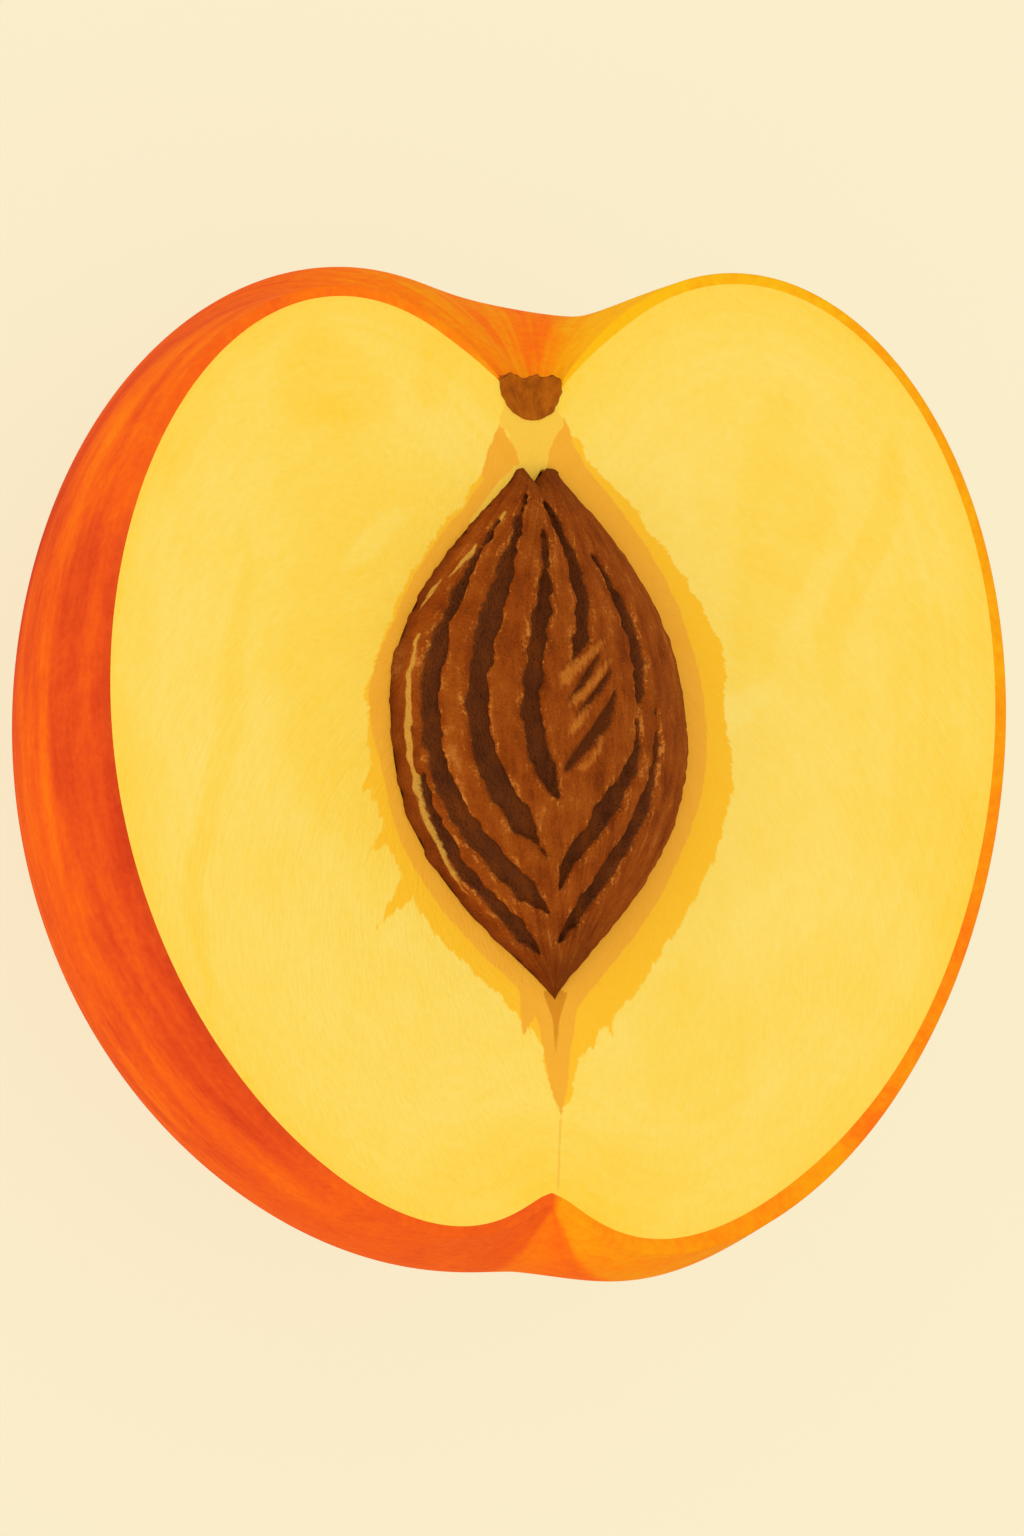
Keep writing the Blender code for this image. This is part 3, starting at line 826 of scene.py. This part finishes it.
def build_stem_scar():
    """Half a corky plug with a lumpy top, cut level with the flesh."""
    angles = np.radians(np.linspace(0, 180, SCAR_AROUND // 2 + 1))
    flat_side = np.linspace(-1, 1, SCAR_AROUND // 2 + 1)[1:-1]
    disc_x = np.concatenate([np.cos(angles), flat_side])
    disc_z = np.concatenate([-np.sin(angles) * SCAR_DEPTH_SHARE, 0 * flat_side])
    shares = np.concatenate([np.linspace(SCAR_FIRST_RING, 1, SCAR_RINGS), np.ones(SCAR_RINGS // 2)])
    shrink = np.concatenate([np.ones(SCAR_RINGS), np.linspace(*SCAR_CROWN_RINGS, SCAR_RINGS // 2)])
    ragged, lump_width, lump_height = SCAR_RAGGEDNESS
    loops = []
    for share, small in zip(shares, shrink):
        half = scar_half_width(share) * small
        x, z = disc_x * half, disc_z * half
        crown = sum(height * bump(x, place, SCAR_BUMP_SPREAD) for place, height in SCAR_BUMPS)
        y = SCAR_BOTTOM + SCAR_HEIGHT * share + crown * rise(share, SCAR_CROWN_STARTS, 1)
        points = np.stack([SCAR_MIDDLE + x, y + 0 * x, z + SCAR_PROUD], -1)
        points[:, 0] += ragged * lumps(points, lump_width, SCAR_SEEDS[0])
        points[:, 1] += ragged * lumps(points, lump_height, SCAR_SEEDS[1]) * share
        loops.append(points)
    bottom = np.array([SCAR_MIDDLE, SCAR_BOTTOM, 0])
    top = np.array([SCAR_MIDDLE, loops[-1][:, 1].mean(), SCAR_PROUD / 2])
    piece = closed_body("stem_scar_cork", bottom, np.stack(loops), top)
    piece.data.materials.append(scar_material())
    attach(piece, "root")
    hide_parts("stem_scar")


# ---------------------------------------------------------------------------------------------------------
# Writing materials


def screen(colour):
    """A colour given as screen values from 0 to 255, in the linear values that shaders use."""
    values = [value / 255 for value in colour]
    return (*[v / 12.92 if v <= 0.04045 else ((v + 0.055) / 1.055) ** 2.4 for v in values], 1)


def feed(tree, socket, value):
    """Links a value that comes from another node, or sets one that is fixed."""
    if isinstance(value, bpy.types.NodeSocket):
        tree.links.new(value, socket)
    else:
        socket.default_value = value


def calc(tree, operation, *values, clamp=False):
    """The result of a Math node."""
    node = tree.nodes.new("ShaderNodeMath")
    node.operation = operation
    node.use_clamp = clamp
    for socket, value in zip(node.inputs, values):
        feed(tree, socket, value)
    return node.outputs[0]


def weighed_sum(tree, start, *parts):
    """A number with others added to it, each given as (value, weight)."""
    for value, weight in parts:
        start = calc(tree, "MULTIPLY_ADD", value, weight, start)
    return start


def vector_calc(tree, operation, *values):
    """The result of a Vector Math node."""
    node = tree.nodes.new("ShaderNodeVectorMath")
    node.operation = operation
    for socket, value in zip(node.inputs, values):
        feed(tree, socket, value)
    return node.outputs[0]


def parts_of(tree, vector):
    """The X, Y and Z of a vector."""
    node = tree.nodes.new("ShaderNodeSeparateXYZ")
    feed(tree, node.inputs[0], vector)
    return node.outputs


def mix(tree, amount, first, second):
    """The first colour, covered by the second by the given amount."""
    node = tree.nodes.new("ShaderNodeMix")
    node.data_type = "RGBA"
    feed(tree, node.inputs["Factor"], amount)
    feed(tree, node.inputs["A"], first)
    feed(tree, node.inputs["B"], second)
    return node.outputs["Result"]


def cover(tree, amount, colour, shade):
    """A colour, covered by a fixed one by the given amount."""
    return mix(tree, amount, colour, screen(shade))


def ramp(tree, value, stops):
    """A colour that changes with a value, through (value, colour) stops."""
    node = tree.nodes.new("ShaderNodeValToRGB")
    elements = node.color_ramp.elements
    while len(elements) < len(stops):
        elements.new(0.5)
    for element, (position, colour) in zip(elements, stops):
        element.position = position
        element.color = screen(colour)
    feed(tree, node.inputs["Fac"], value)
    return node.outputs["Color"]


def stretch(tree, value, low, high, new_low=0.0, new_high=1.0):
    """A value's range carried over to a new range, and kept inside it."""
    node = tree.nodes.new("ShaderNodeMapRange")
    for name, number in zip(("From Min", "From Max", "To Min", "To Max"), (low, high, new_low, new_high)):
        node.inputs[name].default_value = number
    feed(tree, node.inputs["Value"], value)
    return node.outputs["Result"]


def stored(tree, name):
    """A number kept on the vertices."""
    node = tree.nodes.new("ShaderNodeAttribute")
    node.attribute_name = name
    return node.outputs["Fac"]


def vector_of(tree, x, y, z):
    """A vector of three numbers."""
    node = tree.nodes.new("ShaderNodeCombineXYZ")
    for socket, value in zip(node.inputs, (x, y, z)):
        feed(tree, socket, value)
    return node.outputs[0]


def object_place(tree):
    """A point's place on the piece, in metres."""
    return tree.nodes.new("ShaderNodeTexCoord").outputs["Object"]


def grain(tree, place, scale, detail=2.0, roughness=0.5, distortion=0.0):
    """Noise from 0 to 1 over a place."""
    node = tree.nodes.new("ShaderNodeTexNoise")
    feed(tree, node.inputs["Vector"], place)
    feed(tree, node.inputs["Scale"], scale)
    feed(tree, node.inputs["Detail"], detail)
    feed(tree, node.inputs["Roughness"], roughness)
    feed(tree, node.inputs["Distortion"], distortion)
    return node.outputs["Fac"]


def centred_grain(tree, place, scale, **looks):
    """Noise from -0.5 to 0.5 over a place."""
    return calc(tree, "SUBTRACT", grain(tree, place, scale, **looks), 0.5)


def relief(tree, height, distance, strength):
    """A normal tilted by a height, where a height of 1 is the given distance in millimetres."""
    node = tree.nodes.new("ShaderNodeBump")
    node.inputs["Strength"].default_value = strength
    node.inputs["Distance"].default_value = distance * MM
    feed(tree, node.inputs["Height"], height)
    return node.outputs["Normal"]


def new_group(name, outputs, **inputs):
    """An empty shader group with named outputs and inputs; an input's first value is None for a vector."""
    group = bpy.data.node_groups.new(name, "ShaderNodeTree")
    for socket_name, value in inputs.items():
        kind = "NodeSocketVector" if value is None else "NodeSocketFloat"
        socket = group.interface.new_socket(name=socket_name, in_out="INPUT", socket_type=kind)
        if value is not None:
            socket.default_value = value
    for socket_name in outputs:
        group.interface.new_socket(name=socket_name, in_out="OUTPUT", socket_type="NodeSocketFloat")
    return group, group.nodes.new("NodeGroupInput").outputs, group.nodes.new("NodeGroupOutput").inputs


def use_group(tree, group, **values):
    """Places a group in a material, with its own values. Returns its outputs."""
    node = tree.nodes.new("ShaderNodeGroup")
    node.node_tree = group
    for name, value in values.items():
        feed(tree, node.inputs[name], value)
    return node.outputs


def new_material(name):
    """A material and its Principled shader."""
    material = bpy.data.materials.new(name)
    material.use_nodes = True
    return material, material.node_tree, material.node_tree.nodes["Principled BSDF"].inputs


def finish(tree, shader, colour, roughness, gloss, normal):
    """Gives a material its colour, its roughness, its gloss and its fine relief."""
    feed(tree, shader["Base Color"], colour)
    feed(tree, shader["Roughness"], roughness)
    feed(tree, shader["Specular IOR Level"], gloss)
    feed(tree, shader["Normal"], normal)


# ---------------------------------------------------------------------------------------------------------
# Effects that several materials share


def fibre_group():
    """Long streaks and short fibres: noise that runs far along one direction and changes fast across it."""
    group, given, result = new_group(
        "Fruit Fibres", ("Broad", "Fine"), Across=0.0, Along=0.0, Fineness=1.0, Length=10.0
    )
    across = calc(group, "MULTIPLY", given["Across"], given["Fineness"])
    along = calc(group, "DIVIDE", given["Along"], given["Length"])
    place = vector_of(group, across, along, 0.0)
    feed(group, result["Broad"], centred_grain(group, place, 1.0, detail=2.0, distortion=0.3))
    feed(group, result["Fine"], centred_grain(group, place, 4.0, detail=3.0, roughness=0.6))
    return group


def zone_group():
    """The mask of a zone of colour, from millimetres inside it, with an edge made ragged by a wander."""
    group, given, result = new_group(
        "Ragged Zone", ("Mask",), Inside=0.0, Wander=0.0, Reach=0.5, Softness=0.1
    )
    moved = calc(group, "MULTIPLY_ADD", given["Wander"], given["Reach"], given["Inside"])
    ratio = calc(group, "DIVIDE", moved, given["Softness"])
    feed(group, result["Mask"], calc(group, "ADD", ratio, 0.5, clamp=True))
    return group


def mottle_group():
    """Cloudy unevenness of a colour at two sizes, from -1 to 1."""
    group, given, result = new_group("Mottle", ("Clouds", "Specks"), Place=None, Size=5.0)
    scale = calc(group, "DIVIDE", 1 / MM, given["Size"])
    clouds = grain(group, given["Place"], scale, detail=3.0, roughness=0.55)
    specks = grain(group, given["Place"], calc(group, "MULTIPLY", scale, 9.0), detail=1.0)
    feed(group, result["Clouds"], calc(group, "MULTIPLY_ADD", clouds, 2.0, -1.0))
    feed(group, result["Specks"], calc(group, "MULTIPLY_ADD", specks, 2.0, -1.0))
    return group


FIBRES = fibre_group()
ZONE = zone_group()
MOTTLE = mottle_group()


def zone_mask(tree, inside, wander, reach, softness):
    """The mask of a zone of colour, whose edge wanders up to about half of `reach` millimetres."""
    zone = use_group(tree, ZONE, Inside=inside, Wander=wander, Reach=reach, Softness=softness)
    return zone["Mask"]


# ---------------------------------------------------------------------------------------------------------
# Materials


def ray_place(tree, direction, distance, fineness, length, lean=0.0):
    """Where to read noise that runs away from the stone: fine around it, and long in the other direction."""
    x = calc(tree, "MULTIPLY", direction["X"], fineness)
    y = calc(tree, "MULTIPLY", calc(tree, "ADD", direction["Y"], lean), fineness)
    return vector_of(tree, x, y, calc(tree, "DIVIDE", distance, length))


def seam_mask(tree, fine_rays):
    """The mask of the faint line between the longest tongue and the tip's notch."""
    off_seam = calc(tree, "ABSOLUTE", stored(tree, "seam_side"))
    line = zone_mask(tree, calc(tree, "SUBTRACT", SEAM_HALF_WIDTH, off_seam), fine_rays, 0.1, 0.1)
    seam_end = stored(tree, "seam_end")
    seam_length = math.dist(*SEAM)
    line = calc(tree, "MULTIPLY", line, stretch(tree, seam_end, -0.5, 0.0))
    return calc(tree, "MULTIPLY", line, stretch(tree, seam_end, seam_length, seam_length - 1, 0.0, 0.6))


def flesh_material():
    """Moist golden flesh: fine fibres, deeper patches, and the ragged rings of colour around the stone."""
    material, tree, shader = new_material("peach_flesh")
    place = object_place(tree)
    middle = placed((*STONE_MIDDLE, 0)).tolist()
    offset = vector_calc(tree, "MULTIPLY", vector_calc(tree, "SUBTRACT", place, middle), (1, 1, 0))
    direction = parts_of(tree, vector_calc(tree, "NORMALIZE", offset))
    stone_gap = stored(tree, "stone_gap")
    rim_gap = stored(tree, "rim_gap")
    lean = calc(tree, "MULTIPLY", stone_gap, 0.05)
    ray_places = ray_place(tree, direction, stone_gap, 9.0, 4.0, lean)
    rays = centred_grain(tree, ray_places, 1.0, detail=4.0, roughness=0.65)
    fine_rays = centred_grain(tree, ray_place(tree, direction, stone_gap, 55.0, 1.6, lean), 1.0, detail=2.0)
    arc_places = ray_place(tree, direction, rim_gap, 3.0, 0.8)
    arcs = centred_grain(tree, arc_places, 1.0, detail=4.0, roughness=0.65)
    mottle = use_group(tree, MOTTLE, Place=place, Size=6.0)

    near_rim = stretch(tree, rim_gap, 3.0, 14.0, 1.0, 0.3)
    strokes = calc(tree, "MULTIPLY", arcs, near_rim)
    strokes = calc(tree, "MULTIPLY_ADD", rays, calc(tree, "SUBTRACT", 1.0, near_rim), strokes)
    depth = weighed_sum(
        tree, stored(tree, "ripe"),
        (strokes, 0.9), (mottle["Clouds"], 0.35), (mottle["Specks"], 0.22), (fine_rays, 0.45),
    )
    colour = ramp(tree, calc(tree, "MULTIPLY_ADD", depth, 0.5, 0.42), FLESH_YELLOWS)
    wander = calc(tree, "MULTIPLY_ADD", fine_rays, 0.25, rays)
    for name, tint, reach, softness in ZONES:
        mask = zone_mask(tree, stored(tree, name), wander, reach, softness)
        shade = cover(tree, stretch(tree, strokes, -0.25, 0.25, 0.0, 0.25), screen(tint), FLESH_STROKE)
        colour = mix(tree, mask, colour, shade)
    colour = cover(tree, seam_mask(tree, fine_rays), colour, SEAM_GOLD)
    roughness = stretch(tree, fine_rays, -0.4, 0.4, 0.40, 0.56)
    height = calc(tree, "MULTIPLY_ADD", mottle["Specks"], 0.25, fine_rays)
    finish(tree, shader, colour, roughness, 0.06, relief(tree, height, 0.12, 0.5))
    shader["Subsurface Weight"].default_value = 0.12
    shader["Subsurface Radius"].default_value = (1.0, 0.6, 0.25)
    shader["Subsurface Scale"].default_value = 1.5 * MM
    return material


def skin_material():
    """Downy skin: amber on one side of the groove, a streaked red blush on the other."""
    material, tree, shader = new_material("peach_skin")
    place = object_place(tree)
    streaks = use_group(
        tree, FIBRES, Across=stored(tree, "turn"), Along=stored(tree, "tilt"), Fineness=0.13, Length=34.0
    )
    daubs = centred_grain(tree, place, 0.16 / MM, detail=4.0, roughness=0.6, distortion=1.6)
    mottle = use_group(tree, MOTTLE, Place=place, Size=5.0)
    streaky = stored(tree, "streaky")
    broad = calc(tree, "MULTIPLY", streaks["Broad"], streaky)
    fine = calc(tree, "MULTIPLY", streaks["Fine"], streaky)
    red = weighed_sum(
        tree, stored(tree, "blush"), (broad, 0.7), (fine, 0.3), (daubs, 0.3), (mottle["Specks"], 0.1)
    )
    height = calc(tree, "MULTIPLY_ADD", streaks["Fine"], 0.4, mottle["Specks"])
    finish(tree, shader, ramp(tree, red, SKIN_REDS), 0.8, 0.02, relief(tree, height, 0.08, 0.5))
    return material


def stone_material():
    """Woody stone: warmer ridges, with painted light on them: furrows and shallow dips darkened with painted
    shade, tan flecks and strokes painted as highlights, painted shade along its outline, and a pale stripe by
    its keel painted as a highlight.
    """
    material, tree, shader = new_material("peach_stone")
    place = object_place(tree)
    furrow = stored(tree, "furrow")
    along = stored(tree, "along")
    across = stored(tree, "across")
    fibres = use_group(
        tree, FIBRES, Across=calc(tree, "MULTIPLY", across, 12.0),
        Along=calc(tree, "MULTIPLY", along, 38.0), Fineness=0.9, Length=4.0,
    )
    fine = fibres["Fine"]
    mottle = use_group(tree, MOTTLE, Place=place, Size=2.0)
    specks = mottle["Specks"]

    warmth = weighed_sum(
        tree, 0.5, (fibres["Broad"], 1.1), (fine, 0.35), (mottle["Clouds"], 0.4), (specks, 0.16)
    )
    ridge = ramp(tree, warmth, RIDGE_BROWNS)
    # The furrows take darker browns: painted shade in the recesses
    shaded_trough = ramp(tree, warmth, TROUGH_SHADE_BROWNS)
    colour = mix(tree, zone_mask(tree, furrow, fine, 0.35, 0.1), ridge, shaded_trough)
    # Painted shade in the shallow dips
    colour = cover(tree, zone_mask(tree, stored(tree, "dip"), fine, 0.6, 0.25), colour, DIP_SHADE_BROWN)

    # Tan flecks along the edges of the furrows: painted highlights on the ridges' crests
    edge = calc(tree, "MULTIPLY", stretch(tree, furrow, -0.5, -0.2), stretch(tree, furrow, 0.05, -0.05))
    fleck = weighed_sum(tree, fine, (specks, 0.3), (fibres["Broad"], 0.8))
    colour = cover(tree, calc(tree, "MULTIPLY", edge, stretch(tree, fleck, 0.06, 0.3)), colour, FLECK_HIGHLIGHT_TAN)
    crumbs = calc(tree, "MULTIPLY", stretch(tree, specks, 0.42, 0.62), stretch(tree, furrow, 0.0, -0.1))
    colour = cover(tree, calc(tree, "MULTIPLY", crumbs, 0.7), colour, CRUMB_TAN)
    # Tan strokes between the dips: painted highlights
    stroke = zone_mask(tree, stored(tree, "stroke"), fine, 0.9, 0.35)
    colour = cover(tree, calc(tree, "MULTIPLY", stroke, 0.9), colour, STROKE_HIGHLIGHT_TAN)

    tip_end = stretch(tree, along, 0.84, 0.95, 0.0, 0.3)
    stem_end = stretch(tree, along, 0.08, 0.0, 0.0, 0.4)
    colour = cover(tree, calc(tree, "ADD", tip_end, stem_end), colour, END_BROWN)
    # Darker along the stone's outline, where its sides turn down to the flesh: painted shade
    keel = stretch(tree, calc(tree, "ABSOLUTE", across), 0.96, 1.0, 0.0, 0.55)
    colour = cover(tree, keel, colour, KEEL_SHADE_BROWN)
    # A pale stripe by the keel: a painted highlight
    colour = cover(tree, zone_mask(tree, stored(tree, "stripe"), fine, 0.35, 0.1), colour, STRIPE_HIGHLIGHT_CREAM)
    height = calc(tree, "MULTIPLY_ADD", specks, 0.6, fine)
    finish(tree, shader, colour, 0.75, 0.04, relief(tree, height, 0.3, 0.7))
    return material


def scar_material():
    """Dry cork, streaked upwards from its foot."""
    material, tree, shader = new_material("stem_scar")
    place = object_place(tree)
    foot = placed((SCAR_MIDDLE, SCAR_BOTTOM - 2, 0)).tolist()
    offset = parts_of(tree, vector_calc(tree, "SUBTRACT", place, foot))
    slant = calc(tree, "DIVIDE", offset["X"], offset["Y"])
    height = calc(tree, "DIVIDE", offset["Y"], MM)
    fibres = use_group(tree, FIBRES, Across=slant, Along=height, Fineness=5.0, Length=2.0)
    mottle = use_group(tree, MOTTLE, Place=place, Size=1.2)
    warmth = weighed_sum(tree, 0.5, (fibres["Broad"], 0.7), (fibres["Fine"], 0.4), (mottle["Clouds"], 0.4))
    relief_normal = relief(tree, fibres["Fine"], 0.2, 0.7)
    finish(tree, shader, ramp(tree, warmth, CORK_BROWNS), 0.85, 0.04, relief_normal)
    return material


# ---------------------------------------------------------------------------------------------------------
# Floor, light and camera


def build_floor():
    """A wide pale floor that glows a little, so that shadows and reflected red stay faint on it."""
    bm = bmesh.new()
    bmesh.ops.create_grid(bm, x_segments=1, y_segments=1, size=FLOOR_HALF_WIDTH)
    mesh = bpy.data.meshes.new("floor")
    bm.to_mesh(mesh)
    bm.free()
    floor = added("floor", mesh)
    material, _, shader = new_material("pale_floor")
    shader["Base Color"].default_value = screen(FLOOR_COLOUR)
    shader["Emission Color"].default_value = screen(FLOOR_GLOW_COLOUR)
    shader["Emission Strength"].default_value = FLOOR_GLOW
    shader["Roughness"].default_value = 0.9
    shader["Specular IOR Level"].default_value = 0.0
    mesh.materials.append(material)


def build_light():
    """Soft, nearly shadowless light: an even pale sky, and a broad lamp on the camera's side."""
    world = bpy.data.worlds.new("studio")
    world.use_nodes = True
    background = world.node_tree.nodes["Background"].inputs
    background["Color"].default_value = SKY_COLOUR
    background["Strength"].default_value = SKY_STRENGTH
    bpy.context.scene.world = world
    lamp = bpy.data.lights.new("broad_lamp", "SUN")
    lamp.energy = LAMP_STRENGTH
    lamp.angle = math.radians(LAMP_SPREAD)
    added("broad_lamp", lamp).rotation_euler = Vector(LAMP_FROM).to_track_quat("Z", "Y").to_euler()


def build_camera():
    """A camera far away behind a long lens, tilted from straight above to one side."""
    side = math.radians(CAMERA_SIDE)
    turned = Matrix.Rotation(math.radians(CAMERA_TILT), 4, Vector((-math.cos(side), math.sin(side), 0)))
    distance = FRAME_HEIGHT * LENS / SENSOR
    data = bpy.data.cameras.new("camera")
    data.lens = LENS
    data.sensor_width = SENSOR
    data.clip_end = 20
    camera = added("camera", data)
    place = ORIGIN + turned @ Vector((*CAMERA_AIM, distance)) * MM
    camera.matrix_world = Matrix.Translation(place) @ turned
    bpy.context.scene.camera = camera


build_flesh()
build_stone()
build_stem_scar()
build_floor()
build_light()
build_camera()
bpy.context.scene.view_settings.view_transform = "Standard"
